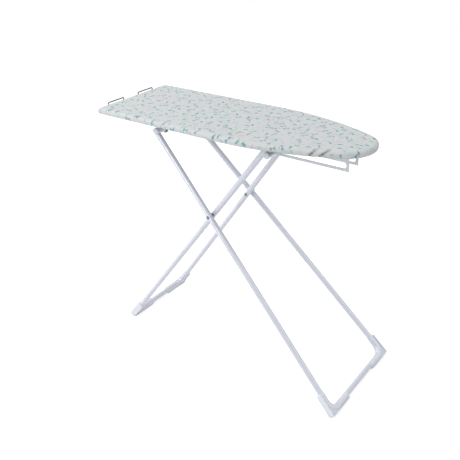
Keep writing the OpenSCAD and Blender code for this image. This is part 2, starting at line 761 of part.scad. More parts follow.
module foot_solid(half_w0, taper, low_l) {
    yc = half_w0 + low_l * tan(taper);
    w = foot_edge;
    inner_w = w - foot_edge_w;
    rail_end = yc - foot_rail_l + foot_step;
    corner_rod(foot_r, foot_r + foot_swell, half_w0, taper, low_l, foot_leg_l, foot_rail_l);
    linear_extrude(foot_web_t, center = true) polygon([
        foot_tip(w, taper, low_l, yc), beside_leg(w, taper, low_l, yc),
        beside_leg(0, taper, low_l, yc), [low_l, rail_end], [low_l + w, rail_end]]);
    linear_extrude(2 * foot_half_t, center = true) polygon([
        foot_tip(w, taper, low_l, yc), beside_leg(w, taper, low_l, yc),
        beside_leg(inner_w, taper, low_l, yc), foot_tip(inner_w, taper, low_l, yc),
        [low_l + inner_w, rail_end], [low_l + w, rail_end]]);
}

module foot_bore(half_w0, taper, low_l) {
    r = tube_r + fit / 2;
    corner_rod(r, r + foot_swell, half_w0, taper, low_l, 2 * foot_leg_l, 2 * foot_rail_l);
}

// The inside of the corner, where the sleeve is open and the tube shows. Its edge keeps
// foot_open from the tube's axis and turns the corner in three steps.
module foot_opening(half_w0, taper, low_l) {
    yc = bend_start(half_w0, taper, low_l);
    r = bend_r - foot_open;
    far = 2 * foot_rail_l;
    step = (90 + taper) / 3;
    linear_extrude(4 * tube_r, center = true) polygon(concat(
        arc(low_l - bend_r, yc, r / cos(step / 2), step / 2, step * 5 / 2, 2, 2),
        [[low_l - bend_r - r * sin(taper) - far * cos(taper), yc + r * cos(taper) - far * sin(taper)],
         [low_l - far, yc - far], [low_l - foot_open, yc - far]]));
}

// A foot on the corner at +Y of the outer or the inner frame
module foot(outer, half_w0, taper, low_l) {
    yc = half_w0 + low_l * tan(taper);
    rail_px = pivot_px + low_l * (outer ? cos(outer_tilt) : -cos(inner_tilt));
    color("ivory") difference() {
        intersection() {
            union() {
                in_frame(outer) foot_solid(half_w0, taper, low_l);
                translate([rail_px - sole_w / 2, yc - foot_rail_l + 2 * foot_step, 0])
                    cube([sole_w, foot_rail_l - 2 * foot_step + tube_r, rail_z]);
            }
            translate([rail_px - reach / 2, 0, 0]) cube(reach);
        }
        in_frame(outer) {
            foot_bore(half_w0, taper, low_l);
            foot_opening(half_w0, taper, low_l);
        }
    }
}

module outer_foot() {
    foot(true, outer_half_w, outer_taper, outer_low_l);
}

module inner_foot() {
    foot(false, inner_half_w, inner_taper, inner_low_l);
}

// ---------------------------------------------------------------- leg pivots
outer_lean = spacer_d / 2 * tan(outer_taper);
inner_lean = spacer_d / 2 * tan(inner_taper);

module rivet_head() {
    intersection() {
        cylinder(d = rivet_head_d, h = rivet_head_h, $fn = 32);
        translate([0, 0, rivet_head_h - rivet_head_d]) sphere(r = rivet_head_d, $fn = 48);
    }
}

module pivot_rivet() {
    y_in = inner_half_w - tube_r - inner_lean - run;
    y_out = outer_half_w + tube_r + outer_lean;
    color("dimgray") translate([pivot_px, 0, pivot_z]) {
        y_rod(rivet_d / 2, y_in, y_out, 0, 0, 32);
        translate([0, y_out, 0]) rotate([-90, 0, 0]) rivet_head();
        translate([0, y_in, 0]) rotate([90, 0, 0]) rivet_head();
    }
}

module pivot_spacers() {
    y0 = inner_half_w + tube_r + inner_lean + run;
    y1 = outer_half_w - tube_r - outer_lean;
    color("dimgray") both_sides() translate([pivot_px, 0, pivot_z]) difference() {
        y_rod(spacer_d / 2, y0, y1);
        y_rod(rivet_d / 2 + fit, y0 - 1, y1 + 1, 0, 0, 32);
    }
}

// ---------------------------------------------------------------- nodes
all_clamp_pins = concat(clamp_pins, mirrored(clamp_pins));
all_bracket_pins = concat(bracket_pins, mirrored(bracket_pins));

board_panel();
brace(rest_brace_px, all_clamp_pins);  // brace_tail
brace(hinge_px, all_bracket_pins);  // brace_hinge
brace(shaft_px, concat(rack_pins, lever_pins));  // brace_rack
brace(brace_nose_px, rack_pins);  // brace_nose
foam_pad();
cover();
hem_cord();
on_side(-1) hinge_bracket();  // hinge_bracket_near
on_side(1) hinge_bracket();  // hinge_bracket_far
on_side(-1) hinge_bush();  // hinge_bush_near
on_side(1) hinge_bush();  // hinge_bush_far
bracket_rivets();
height_rack();
rack_rivets();
lever_bracket();
lever_bracket_rivets();
lever_spring();
on_side(-1) iron_rest();  // iron_rest_near
on_side(1) iron_rest();  // iron_rest_far
on_side(-1) rest_clamp();  // rest_clamp_near
on_side(1) rest_clamp();  // rest_clamp_far
clamp_screws();
outer_frame();
on_side(-1) outer_foot();  // outer_foot_near
on_side(1) outer_foot();  // outer_foot_far
color("white") in_frame(true) leg_plugs(outer_half_w, outer_taper);  // outer_leg_plugs
color("white") in_frame(true) rod_plugs(hinge_half_l);  // hinge_tube_plugs
on_side(-1) pivot_rivet();  // pivot_rivet_near
on_side(1) pivot_rivet();  // pivot_rivet_far
pivot_spacers();
inner_frame();
on_side(-1) inner_foot();  // inner_foot_near
on_side(1) inner_foot();  // inner_foot_far
color("white") in_frame(false) leg_plugs(inner_half_w, inner_taper);  // inner_leg_plugs
color("white") in_frame(false) rod_plugs(bar_half_l);  // crossbar_plugs
lever_shaft();
shaft_clips();
presser_plate();
lever_arm();
lever_grip();
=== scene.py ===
import bmesh
import bpy
import json
import numpy as np
from math import acos, cos, fsum, pi, sin, sqrt
from mathutils import Matrix, Vector


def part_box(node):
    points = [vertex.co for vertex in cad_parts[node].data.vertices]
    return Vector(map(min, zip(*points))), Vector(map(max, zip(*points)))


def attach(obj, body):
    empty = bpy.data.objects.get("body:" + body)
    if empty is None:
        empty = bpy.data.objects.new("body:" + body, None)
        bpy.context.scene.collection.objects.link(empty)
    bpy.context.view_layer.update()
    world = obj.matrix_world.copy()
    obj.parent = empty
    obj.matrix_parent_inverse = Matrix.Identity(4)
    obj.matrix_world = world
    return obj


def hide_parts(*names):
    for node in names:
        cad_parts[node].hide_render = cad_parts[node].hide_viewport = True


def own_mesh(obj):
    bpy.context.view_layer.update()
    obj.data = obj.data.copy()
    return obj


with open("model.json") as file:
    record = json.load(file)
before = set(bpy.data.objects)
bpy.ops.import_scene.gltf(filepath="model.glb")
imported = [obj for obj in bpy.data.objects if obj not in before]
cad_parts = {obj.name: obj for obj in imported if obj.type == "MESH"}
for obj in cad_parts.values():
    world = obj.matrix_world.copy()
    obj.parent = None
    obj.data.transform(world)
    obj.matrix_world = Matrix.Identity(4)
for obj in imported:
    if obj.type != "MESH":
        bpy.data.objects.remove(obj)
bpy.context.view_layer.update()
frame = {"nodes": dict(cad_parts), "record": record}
nodes = frame["nodes"]
print("frame loaded:", len(nodes), "nodes")


class Flow:
    # one output socket of a material's tree; plain numbers and other flows can be mixed in
    def __init__(self, tree, socket=None):
        self.tree = tree
        self.socket = socket

    def node(self, kind, settings=None, inputs=None, output=0):
        # any node: its settings first, then the values or links of its sockets
        made = self.tree.nodes.new("ShaderNode" + kind)
        for name, setting in (settings or {}).items():
            if name == "stops":
                stops = made.color_ramp.elements
                while len(stops) < len(setting):
                    stops.new(0.5)
                for stop, (place, colour) in zip(stops, setting):
                    stop.position = place
                    stop.color = colour
            elif name == "interpolation":
                made.color_ramp.interpolation = setting
            else:
                setattr(made, name, setting)
        for name, entry in (inputs or {}).items():
            if isinstance(entry, Flow):
                self.tree.links.new(entry.socket, made.inputs[name])
            else:
                made.inputs[name].default_value = entry
        return Flow(self.tree, made.outputs[output])

    def other(self, output):
        # another output of the node that this one comes from
        return Flow(self.tree, self.socket.node.outputs[output])

    def maths(self, operation, first, second=0.0, clamp=False):
        return self.node("Math", {"operation": operation, "use_clamp": clamp},
                         {0: first, 1: second})

    def __add__(self, other):
        return self.maths("ADD", self, other)

    def __sub__(self, other):
        return self.maths("SUBTRACT", self, other)

    def __rsub__(self, other):
        return self.maths("SUBTRACT", other, self)

    def __mul__(self, other):
        return self.maths("MULTIPLY", self, other)

    def __truediv__(self, other):
        return self.maths("DIVIDE", self, other)

    def __pow__(self, other):
        return self.maths("POWER", self, other)

    def __abs__(self):
        return self.maths("ABSOLUTE", self)

    __radd__ = __add__
    __rmul__ = __mul__

    def held(self):
        # kept between 0 and 1
        return self.maths("ADD", self, 0.0, clamp=True)

    def below(self, limit):
        # 1 where this value is under the limit, and 0 elsewhere
        return self.maths("LESS_THAN", self, limit)

    def times(self, factor):
        # a vector scaled by a number
        return self.node("VectorMath", {"operation": "SCALE"}, {0: self, "Scale": factor})

    def mix(self, low, high):
        # this value chooses between two colours
        return self.node("Mix", {"data_type": "RGBA"}, {0: self, 6: low, 7: high}, 2)

    def axes(self):
        # the three numbers of a vector; other(1) and other(2) give the second and third
        return self.node("SeparateXYZ", {}, {0: self})

    def noise(self, form):
        # noise on these coordinates; form gives its scale, its detail and how rough it is
        return self.node("TexNoise", {}, {"Vector": self, "Scale": form["scale"],
                                          "Detail": form["detail"],
                                          "Roughness": form.get("rough", 0.5)}, "Fac")

    def bump(self, form):
        return self.node("Bump", {}, {"Height": self, "Distance": form["deep"],
                                      "Strength": form["strength"]})


def rgb(red, green, blue):
    # a colour as it looks on screen, turned into the shader's own scale
    return tuple(((c / 255 + 0.055) / 1.055) ** 2.4 for c in (red, green, blue)) + (1.0,)


def objectCoords(start):
    return start.node("TexCoord", output="Object")


def pattern(start, form):
    # a noise on the piece's own coordinates, drawn out into lines where its form is stretched
    coords = objectCoords(start)
    if "stretch" in form:
        coords = start.node("Mapping", {}, {0: coords, "Scale": form["stretch"]})
    return coords.noise(form)


def makeFinish(name, look, surface):
    # fixed values go straight on the shader; surface gives what changes from place to place
    material = bpy.data.materials.new(name)
    material.use_nodes = True
    tree = material.node_tree
    shader = tree.nodes["Principled BSDF"]
    for socket, value in look.get("fixed", {}).items():
        shader.inputs[socket].default_value = value
    for socket, value in surface(Flow(tree), look).items():
        tree.links.new(value.socket, shader.inputs[socket])
    return material


def twoTone(start, look):
    # a broad noise mixes shade and colour and adds to the roughness; a fine one is the relief
    broad = pattern(start, look["broad"])
    made = {"Base Color": broad.mix(look["shade"], look["colour"]),
            "Normal": pattern(start, look["fine"]).bump(look["fine"])}
    if "vary" in look:
        made["Roughness"] = broad * look["vary"] + look["rough"]
    return made


legPaint = {"colour": rgb(218, 221, 231), "shade": rgb(203, 207, 220), "scuff": rgb(184, 186, 194),
            "rough": 0.22, "vary": 0.08,
            "broad": {"scale": 9.0, "detail": 3.0},
            "fine": {"scale": 900.0, "detail": 1.0, "deep": 0.00015, "strength": 0.25},
            "wear": {"scale": 70.0, "detail": 4.0, "rough": 0.65},
            "wearFrom": 0.63, "wearEdge": 9.0, "wearRough": 0.25,
            "fixed": {"Metallic": 0.12, "Coat Weight": 0.8, "Coat Roughness": 0.1}}


def legPaintSurface(start, look):
    # two tones, with scuffs where a third noise passes a limit
    made = twoTone(start, look)
    worn = ((pattern(start, look["wear"]) - look["wearFrom"]) * look["wearEdge"]).held()
    made["Base Color"] = worn.mix(made["Base Color"], look["scuff"])
    made["Roughness"] = made["Roughness"] + worn * look["wearRough"]
    return made


boardPaint = {"colour": rgb(224, 227, 231), "shade": rgb(208, 212, 218),
              "rough": 0.42, "vary": 0.15,
              "broad": {"scale": 14.0, "detail": 4.0},
              "fine": {"scale": 700.0, "detail": 2.0, "deep": 0.0002, "strength": 0.3}}

zincPlate = {"colour": rgb(196, 199, 204), "shade": rgb(150, 155, 163), "rough": 0.3, "vary": 0.2,
             "spangle": 240.0, "spangleShare": 0.45,
             "streak": {"scale": 5.0, "detail": 3.0, "stretch": (3.0, 160.0, 160.0),
                        "deep": 0.0001, "strength": 0.3},
             "fixed": {"Metallic": 0.9}}


def zincSurface(start, look):
    # spangle cells, each of one tone, crossed by rolling streaks
    cells = start.node("TexVoronoi", {"feature": "F1"},
                       {"Vector": objectCoords(start), "Scale": look["spangle"]}, "Color")
    grain = start.node("SeparateColor", {}, {0: cells})
    streak = pattern(start, look["streak"])
    tone = grain * look["spangleShare"] + streak * (1 - look["spangleShare"])
    return {"Base Color": tone.mix(look["shade"], look["colour"]),
            "Roughness": tone * look["vary"] + look["rough"],
            "Normal": streak.bump(look["streak"])}


restWire = {"colour": rgb(112, 109, 108), "shade": rgb(72, 69, 68), "rough": 0.36, "vary": 0.2,
            "broad": {"scale": 60.0, "detail": 4.0, "rough": 0.6},
            "fine": {"scale": 3.0, "detail": 2.0, "stretch": (20.0, 600.0, 600.0),
                     "deep": 0.0001, "strength": 0.3},
            "fixed": {"Metallic": 0.85}}

dullRivet = {"colour": rgb(156, 158, 163), "shade": rgb(104, 107, 113), "rough": 0.4, "vary": 0.25,
             "broad": {"scale": 220.0, "detail": 3.0, "rough": 0.6},
             "fine": {"scale": 220.0, "detail": 3.0, "rough": 0.6,
                      "deep": 0.0002, "strength": 0.4},
             "fixed": {"Metallic": 0.85}}

drawnSteel = {"colour": rgb(168, 171, 176), "shade": rgb(120, 124, 131), "rough": 0.3, "vary": 0.2,
              "broad": {"scale": 2.0, "detail": 2.0, "stretch": (400.0, 12.0, 400.0)},
              "fine": {"scale": 2.0, "detail": 2.0, "stretch": (400.0, 12.0, 400.0),
                       "deep": 0.0001, "strength": 0.3},
              "fixed": {"Metallic": 0.9}}

greyNylon = {"colour": rgb(146, 148, 155), "shade": rgb(124, 126, 134), "rough": 0.48, "vary": 0.12,
             "broad": {"scale": 35.0, "detail": 3.0},
             "fine": {"scale": 1500.0, "detail": 2.0, "deep": 0.0002, "strength": 0.5}}

footPlastic = {"colour": rgb(234, 237, 244), "shade": rgb(222, 226, 235),
               "dust": rgb(206, 206, 208), "rough": 0.4, "vary": 0.1,
               "broad": {"scale": 22.0, "detail": 3.0},
               "fine": {"scale": 1300.0, "detail": 2.0, "deep": 0.0002, "strength": 0.35},
               "specks": {"scale": 160.0, "detail": 4.0, "rough": 0.6},
               "dustHeight": 0.012, "dustBase": 0.1, "dustRough": 0.2}


def footSurface(start, look):
    # two tones, with grime in specks that gathers next to the floor
    made = twoTone(start, look)
    height = objectCoords(start).axes().other(2)
    low = (1 - height / look["dustHeight"]).held()
    dusty = (low * (pattern(start, look["specks"]) + look["dustBase"])).held()
    made["Base Color"] = dusty.mix(made["Base Color"], look["dust"])
    made["Roughness"] = made["Roughness"] + dusty * look["dustRough"]
    return made


plugPlastic = {"colour": rgb(224, 226, 228), "shade": rgb(205, 208, 213),
               "rough": 0.38, "vary": 0.15,
               "broad": {"scale": 60.0, "detail": 3.0},
               "fine": {"scale": 1600.0, "detail": 1.0, "deep": 0.0002, "strength": 0.3}}

openFoam = {"colour": rgb(226, 222, 205), "shade": rgb(198, 192, 170),
            "cells": {"scale": 900.0, "wall": 4.0, "deep": 0.0006, "strength": 0.7},
            "broad": {"scale": 30.0, "detail": 3.0}, "broadShare": 0.5,
            "fixed": {"Roughness": 0.9}}


def foamSurface(start, look):
    # pores are cells, deeper away from their walls and darker there with painted shade
    gap = start.node("TexVoronoi", {"feature": "DISTANCE_TO_EDGE"},
                     {"Vector": objectCoords(start), "Scale": look["cells"]["scale"]}, "Distance")
    poreDepthAndShade = (gap * look["cells"]["wall"]).held()
    tone = pattern(start, look["broad"]) * look["broadShare"] + poreDepthAndShade * (1 - look["broadShare"])
    # the pores' share of the tone is painted shade in the hollows; the broad noise is the foam's
    # own uneven tone
    return {"Base Color": tone.mix(look["colour"], look["shade"]),
            "Normal": (1 - poreDepthAndShade).bump(look["cells"])}


# the cover's print, from its palest marks to its darkest: cell = spacing, long and wide = half
# sizes, soft = width of a mark's edge, share = how many cells hold a mark, bows = how many of the
# marks are bow shapes and not leaves
printedCotton = {
    # the third colour on the next line is painted shade for the tucks' folds, and also darkens the
    # lower edge
    "ground": rgb(203, 209, 209), "groundWarm": rgb(207, 204, 207), "crease": rgb(88, 80, 74),
    "patches": {"scale": 6.0, "detail": 2.0},
    "offset": (0.37, 0.21),         # each layer's cells are shifted by this against the last
    "scatter": 0.85,                # how unevenly the marks lie
    "bend": 26.0,                   # how much a mark may curve
    "knot": 0.25,                   # width of a bow at its middle, against its ends
    "bowPick": 7.0,                 # makes the choice of bows differ from the choice of cells
    "fuller": 0.3,                  # how far a mark's edge stands outside its outline
    "threads": 1500.0, "weave": 0.4,
    "slub": {"scale": 420.0, "detail": 2.0, "deep": 0.0003, "strength": 0.35},
    "layers": [
        {"cell": 0.052, "long": 0.024, "wide": 0.0066, "soft": 0.004,
         "share": 0.9, "bows": 0.0, "strength": 0.6,
         "tints": [rgb(172, 204, 192), rgb(180, 204, 206), rgb(190, 208, 198), rgb(204, 188, 196)]},
        {"cell": 0.021, "long": 0.0078, "wide": 0.0028, "soft": 0.0012,
         "share": 0.85, "bows": 0.4, "strength": 0.6,
         "tints": [rgb(134, 184, 172), rgb(136, 176, 184), rgb(152, 198, 182), rgb(170, 180, 196)]},
        {"cell": 0.034, "long": 0.0090, "wide": 0.0041, "soft": 0.0010,
         "share": 0.92, "bows": 0.55, "strength": 0.86,
         "tints": [rgb(96, 156, 156), rgb(108, 168, 158), rgb(102, 150, 176), rgb(88, 148, 146)]}],
    "fixed": {"Roughness": 0.82, "Sheen Weight": 0.15, "Sheen Roughness": 0.5}}


def printedMarks(start, look, number, coords, ground):
    # Each cell's own point is a mark's middle. The way there, turned by the cell's random angle,
    # gives along and across, and across is bent by along squared. A leaf is where across is under
    # wide (1 - far squared), and a bow where it is under wide (far + knot), up to far = 1.
    layer = look["layers"][number]
    shift = (look["offset"][0] * number, look["offset"][1] * number, 0.0)
    place = start.node("Mapping", {}, {0: coords, "Location": shift,
                                       "Scale": (1 / layer["cell"],) * 3})
    point = start.node("TexVoronoi", {"voronoi_dimensions": "2D"},
                       {"Vector": place, "Scale": 1.0, "Randomness": look["scatter"]}, "Position")
    first = start.node("SeparateColor", {}, {0: point.other("Color")})
    second, third = first.other(1), first.other(2)      # random numbers of the cell
    away = start.node("VectorMath", {"operation": "SUBTRACT"}, {0: place, 1: point})
    turned = start.node("VectorRotate", {"rotation_type": "Z_AXIS"},
                        {"Vector": away.times(layer["cell"]), "Angle": first * (2 * pi)})
    along = turned.axes()
    across = along.other(1) + (along ** 2) * (third - 0.5) * look["bend"]
    far = abs(along) / layer["long"]
    leaf = 1 - far ** 2
    bow = (far + look["knot"]) * far.below(1.0)
    bowed = start.maths("FRACT", second * look["bowPick"]).below(layer["bows"])
    reach = leaf + (bow - leaf) * bowed
    mark = ((reach * layer["wide"] - abs(across)) / layer["soft"] + look["fuller"]).held()
    tints = layer["tints"]
    stops = [(step / len(tints), tint) for step, tint in enumerate(tints)]
    tint = start.node("ValToRGB", {"interpolation": "CONSTANT", "stops": stops}, {0: third})
    return (mark * second.below(layer["share"]) * layer["strength"]).mix(ground, tint)


def clothSurface(start, look):
    # the ground, the print, painted shade in its folds and a darker lower edge,
    # and the weave of crossed sine waves
    coords = start.node("UVMap", {"uv_map": "cloth"})
    colour = coords.noise(look["patches"]).mix(look["ground"], look["groundWarm"])
    for number in range(len(look["layers"])):
        colour = printedMarks(start, look, number, coords, colour)
    # this attribute holds painted shade in the tucks' folds and a darker line along the lower edge
    soil = start.node("Attribute", {"attribute_name": "soil"}, output="Fac")
    count = coords.times(look["threads"] * 2 * pi).axes()
    weave = start.maths("SINE", count) * start.maths("SINE", count.other(1)) * look["weave"]
    return {"Base Color": soil.mix(colour, look["crease"]),
            "Normal": (weave + coords.noise(look["slub"])).bump(look["slub"])}


hemTape = {"colour": rgb(226, 228, 226), "shade": rgb(206, 209, 209),
           "broad": {"scale": 40.0, "detail": 3.0},
           "fine": {"scale": 900.0, "detail": 2.0, "deep": 0.0003, "strength": 0.6},
           "fixed": {"Roughness": 0.8, "Sheen Weight": 0.15}}

finishes = {"leg_paint": makeFinish("legPaint", legPaint, legPaintSurface),
            "board_steel": makeFinish("boardPaint", boardPaint, twoTone),
            "plated_steel": makeFinish("zincPlate", zincPlate, zincSurface),
            "rest_wire": makeFinish("restWire", restWire, twoTone),
            "rivets": makeFinish("dullRivet", dullRivet, twoTone),
            "spring_steel": makeFinish("drawnSteel", drawnSteel, twoTone),
            "dark_nylon": makeFinish("greyNylon", greyNylon, twoTone),
            "foot_plastic": makeFinish("footPlastic", footPlastic, footSurface),
            "plug_plastic": makeFinish("plugPlastic", plugPlastic, twoTone),
            "foam": makeFinish("openFoam", openFoam, foamSurface),
            "cover_cloth": makeFinish("printedCotton", printedCotton, clothSurface),
            "hem_cord": makeFinish("hemTape", hemTape, twoTone)}

for piece in frame["record"]["subparts"]:
    if piece["node"] in nodes:
        for place in nodes[piece["node"]].material_slots:
            place.material = finishes[piece["material_slot"]]
print("finishes made:", len(finishes))


# the board's padded edge and the cloth on it; the last three rows are the pad's humps
cover = {"count": 800,                              # points round the board
         "shares": (0.15, 0.036, 0.32, 0.33, 0.13),     # points of each stretch, tail to nose
         "crowd": 3.0, "crowdPlace": 0.815, "crowdWidth": 0.035,    # more of them at the tucks
         "fineSteps": 4001,
         "noseRadius": 0.0953, "sideRadius": 0.9636, "tailRadius": 0.0065,
         "curlBelow": 0.008, "squareBelow": 0.55,   # how far the edge curls in, how squarely
         "curlAbove": 0.015, "squareAbove": 0.85,   # the same on top
         "curlCorner": 0.004,                       # tail corners where the curl ends
         "edgeRows": 21,
         "topRows": 18, "topSpread": 1.15,          # rows on top, closer together at the edge
         "cloth": 0.0009,
         "softness": 0.0005, "settle": 8,           # the pad's unevenness, none at the edge
         "along": (37, 2, 21), "across": (43, 1.5, 17),     # wave, its sway and how fast it sways
         "small": 0.5, "slant": (83, 61), "cross": (97, -29)}   # smaller ones over them

hem = {"width": 0.0327, "corner": 0.034, "rows": 10,
       "lift": 0.0006, "rise": 0.0004,      # above the lowest point, and more at the inner edge
       "flatten": 0.6, "curlCloth": 0.6}    # gathers fade outwards; cloth used by the curl

# gathers of the hem: wander and beat are (size, rate, start) of slow waves that make the folds
# uneven, least = their size where the edge is straight, perBend = how it grows with the bend,
# upTo = how far up the edge they run, as a sine, onEdge = share of their depth there
gather = {"length": 0.013, "deep": 0.0016, "wander": ((1.9, 31.0, 0.0), (1.3, 57.0, 1.0)),
          "least": 0.35, "perBend": 0.085, "main": 0.7, "secondRate": 1.9, "secondStart": 0.8,
          "beat": ((1.0, 23.0, 0.0),), "upTo": 0.35, "onEdge": 0.45}

# folds of slack cloth near the nose: start = how far from the tail at the lower edge, lean = how
# much further for each step up, reach = how far up the fold runs
tucks = [{"start": 0.818, "lean": 1.1, "reach": 0.026, "wide": 0.0052, "deep": 0.0032},
         {"start": 0.844, "lean": 1.5, "reach": 0.032, "wide": 0.0056, "deep": 0.0036}]
tuckForm = {"fade": 1.15, "lipAway": 2.4, "lipWide": 1.6, "lipHigh": 0.35}

dullLine = {"base": 0.5, "waves": ((0.3, 17.0, 0.0), (0.2, 43.0, 0.0)),
            "tall": 0.004, "fade": 1.2, "strength": 0.55}


def waves(along, terms):
    # a sum of sine waves, each with its size, its rate and its start
    return sum(size * np.sin(rate * along + start) for size, rate, start in terms)


def distances(line):
    # how far along a closed line each of its points is, and last its whole length
    steps = np.linalg.norm(np.roll(line, -1, 0) - line, axis=1)
    return np.concatenate([[0], np.cumsum(steps)])


def boardEdge(inset, tailRadius, count):
    # Half of the edge from the middle of the tail to the nose tip is a line, a corner arc, a
    # line, a side arc and the nose arc; each takes a fixed share of the points, and the other
    # half is its mirror image. Gives the points, the outward directions and the bend there.
    low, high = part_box("cover")
    tail, nose, half = low[0] + inset, high[0] - inset, high[1] - inset
    noseRadius, sideRadius = cover["noseRadius"] - inset, cover["sideRadius"] - inset
    noseMiddle = nose - noseRadius
    sideMiddle = noseMiddle - sqrt((sideRadius - noseRadius) ** 2 - (sideRadius - half) ** 2)
    sideTurn = acos((noseMiddle - sideMiddle) / (sideRadius - noseRadius))
    shares = np.array(cover["shares"]) / fsum(cover["shares"])
    even = np.linspace(0, 1, cover["fineSteps"])
    near = np.exp(-((even - cover["crowdPlace"]) / cover["crowdWidth"]) ** 2)
    crowding = 1 + cover["crowd"] * near
    filled = np.concatenate([[0], np.cumsum((crowding[1:] + crowding[:-1]) / 2)])
    places = np.interp(np.linspace(0, filled[-1], count // 2 + 1), filled, even)
    starts = np.concatenate([[0], np.cumsum(shares)])
    piece = np.clip(np.searchsorted(starts, places, side="right") - 1, 0, 4)
    along = (places - starts[piece]) / shares[piece]
    corner = np.array([tail + tailRadius, half - tailRadius])
    lines = {0: ((tail, 0), (tail, corner[1]), (-1.0, 0.0)),
             2: ((corner[0], half), (sideMiddle, half), (0.0, 1.0))}
    arcs = {1: (corner, tailRadius, pi, pi / 2),
            3: ((sideMiddle, half - sideRadius), sideRadius, pi / 2, sideTurn),
            4: ((noseMiddle, 0), noseRadius, sideTurn, 0.0)}
    points = np.zeros((len(places), 2))
    outward = np.zeros((len(places), 2))
    bend = np.zeros(len(places))
    for number, (start, stop, facing) in lines.items():
        here = piece == number
        points[here] = start + (np.array(stop) - start) * along[here, None]
        outward[here] = facing
    for number, (middle, radius, first, last) in arcs.items():
        here = piece == number
        turn = first + (last - first) * along[here]
        outward[here] = np.stack([np.cos(turn), np.sin(turn)], 1)
        points[here] = middle + radius * outward[here]
        bend[here] = 1 / radius
    flip = np.array([1.0, -1.0])
    points = np.concatenate([points, points[-2:0:-1] * flip])
    outward = np.concatenate([outward, outward[-2:0:-1] * flip])
    return points, outward, np.concatenate([bend, bend[-2:0:-1]])


def ridge(points):
    # the line along the middle of the board that the inner rows close on
    low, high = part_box("cover")
    middle = np.zeros_like(points)
    middle[:, 0] = np.clip(points[:, 0], low[0] + high[1], high[0] - cover["noseRadius"])
    return middle


def addObject(name, data):
    made = bpy.data.objects.new(name, data)
    bpy.context.scene.collection.objects.link(made)
    return made


def gridMesh(name, grid, uv=None, soil=None, closedRows=False, poles=()):
    # A grid of rows x points round the board becomes quads; rows run from the hem inwards over
    # the top, so that faces look outwards. A row listed in poles is welded to a line or point.
    rows, count = grid.shape[:2]
    index = np.arange(rows * count).reshape(rows, count)
    below = index if closedRows else index[:-1]
    above = np.roll(index, -1, 0) if closedRows else index[1:]
    faces = np.stack([below, above, np.roll(above, -1, 1), np.roll(below, -1, 1)], -1)
    faces = faces.reshape(-1, 4)
    mesh = bpy.data.meshes.new(name)
    mesh.from_pydata(grid.reshape(-1, 3).tolist(), [], faces.tolist())
    if uv is not None:
        layer = mesh.uv_layers.new(name="cloth")
        corners = uv.reshape(-1, 2)[faces.ravel()]
        layer.uv.foreach_set("vector", corners.astype(np.float32).ravel())
    # per point: painted shade of the tucks and a darker lower edge, read by the cloth's finish
    if soil is not None:
        marks = mesh.attributes.new("soil", "FLOAT", "POINT")
        marks.data.foreach_set("value", soil.astype(np.float32).ravel())
    mesh.shade_smooth()
    if poles:
        work = bmesh.new()
        work.from_mesh(mesh)
        work.verts.ensure_lookup_table()
        ends = [work.verts[i] for row in poles for i in index[row]]
        bmesh.ops.remove_doubles(work, verts=ends, dist=1e-5)
        work.to_mesh(mesh)
        work.free()
    return addObject(name, mesh)


def dress(made, slot, body, *stands):
    # gives a new piece its finish and its body, and hides the nodes it stands for
    made.data.materials.clear()
    made.data.materials.append(finishes[slot])
    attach(made, body)
    if stands:
        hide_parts(*stands)
    return made


coverLow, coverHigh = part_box("cover")
halfTall = (coverHigh[2] - coverLow[2]) / 2
midZ = (coverHigh[2] + coverLow[2]) / 2
count = cover["count"]
edge, outward, bend = boardEdge(0.0, cover["tailRadius"], count)
innerEdge, _, _ = boardEdge(hem["width"], hem["corner"], count)
hemEnd, _, _ = boardEdge(cover["curlBelow"], cover["curlCorner"], count)    # curl underneath
topStart, _, _ = boardEdge(cover["curlAbove"], cover["curlCorner"], count)  # and on top
middle = ridge(edge)
run = distances(edge)[:-1]


def gathers(run, bend):
    # Folds of the gathered hem: waves round the board whose length wanders, deeper where the
    # edge bends more.
    turn = 2 * pi * run / gather["length"] + waves(run, gather["wander"])
    second = np.sin(turn * gather["secondRate"] + gather["secondStart"])
    size = gather["least"] + (1 - gather["least"]) * np.clip(bend * gather["perBend"], 0, 1)
    return size * (gather["main"] * np.sin(turn)
                   + (1 - gather["main"]) * second * waves(run, gather["beat"]))


def curl(turn, shrink=0.0):
    # Section of the padded edge from underneath (-90 degrees) to the top (90): a half round that
    # is squarer below than above. It goes from the edge towards the inner outlines; shrink
    # gives a smaller section inside it.
    turn = np.reshape(turn, (-1, 1))
    above = turn > 0
    power = np.where(above, cover["squareAbove"], cover["squareBelow"])
    deep = np.where(above, cover["curlAbove"], cover["curlBelow"])
    inwards = shrink + (deep - shrink) * (1 - np.abs(np.cos(turn)) ** power)
    target = np.where(above[..., None], topStart, hemEnd)
    up = (halfTall - shrink) * np.sign(np.sin(turn)) * np.abs(np.sin(turn)) ** power
    return edge + (target - edge) * (inwards / deep)[..., None], np.repeat(midZ + up, count, 1)


def tuckShape(points, rise):
    # Each tuck is a leaning line on the near side. The cloth sinks along it with a bell-shaped
    # section and swells a little beside it. Gives the depth and how much shade is painted in the
    # fold.
    sink = np.zeros(points.shape[:2])
    shade = np.zeros(points.shape[:2])
    near = points[..., 1] < 0
    for tuck in tucks:
        aside = points[..., 0] - coverLow[0] - tuck["start"] - tuck["lean"] * rise
        fade = np.clip(tuckForm["fade"] - rise / tuck["reach"], 0, 1) * near
        bell = np.exp(-(aside / tuck["wide"]) ** 2)
        lipPlace = aside + tuckForm["lipAway"] * tuck["wide"]
        lip = np.exp(-(lipPlace / (tuckForm["lipWide"] * tuck["wide"])) ** 2)
        sink += tuck["deep"] * fade * (bell - tuckForm["lipHigh"] * lip)
        shade += fade * bell
    return sink, np.clip(shade, 0, 1)


